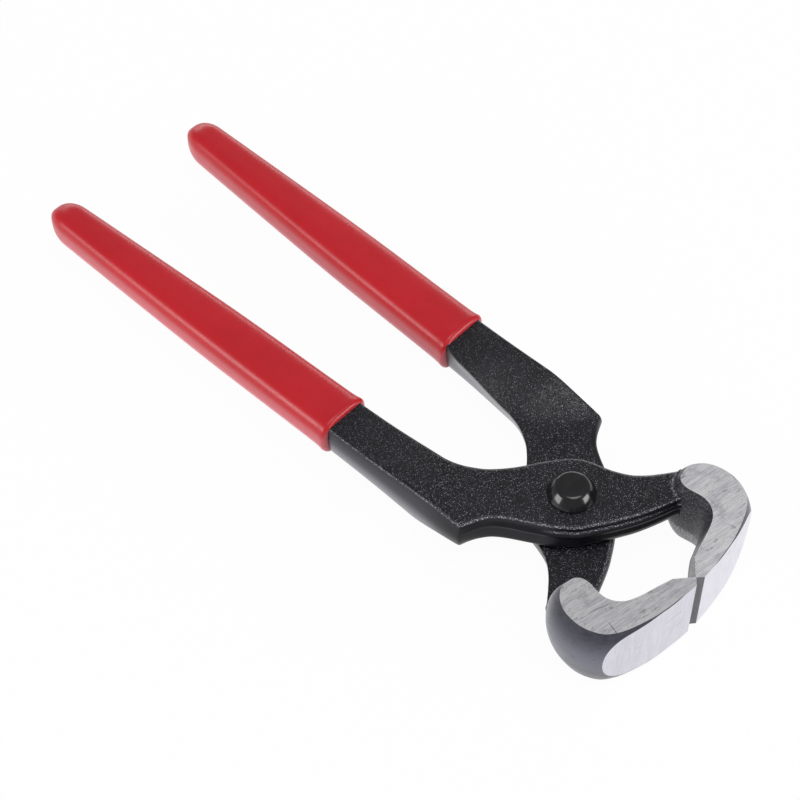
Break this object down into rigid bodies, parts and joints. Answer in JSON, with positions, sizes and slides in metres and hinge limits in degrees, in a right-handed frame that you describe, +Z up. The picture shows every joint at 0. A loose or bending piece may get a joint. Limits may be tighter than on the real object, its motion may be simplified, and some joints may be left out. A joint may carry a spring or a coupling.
{
  "type": "end cutting nippers",
  "caption": "Carpenter's end cutting nippers with lapped forged levers on a rivet, wide ground jaws meeting edge to edge, and dipped grips.",
  "frame": {"origin": "middle of the bounding box's bottom, on the surface the tool lies on", "axes": "+X from the handles to the jaws along the tool's centreline, +Y towards the upper lever's jaw, +Z up along the rivet"},
  "size_m": [0.199, 0.0596, 0.0208],
  "materials": {
    "forged_steel": "fine speckled black coating on the forging, jaws ground bright on their side faces and fronts",
    "rivet_steel": "gloss black",
    "dipped_plastic": "smooth red dipped plastic, slightly glossy"
  },
  "bodies": {
    "upper": {"upper_lever": "forged_steel", "upper_grip": "dipped_plastic", "pivot_rivet": "rivet_steel"},
    "lower": {"lower_lever": "forged_steel", "lower_grip": "dipped_plastic"}
  },
  "joints": [
    {"name": "pivot", "type": "hinge", "parent": "upper", "child": "lower", "pos_m": [0.0611, 0, 0.0104], "axis": [0, 0, -1], "range_deg": [0, 45]}
  ]
}
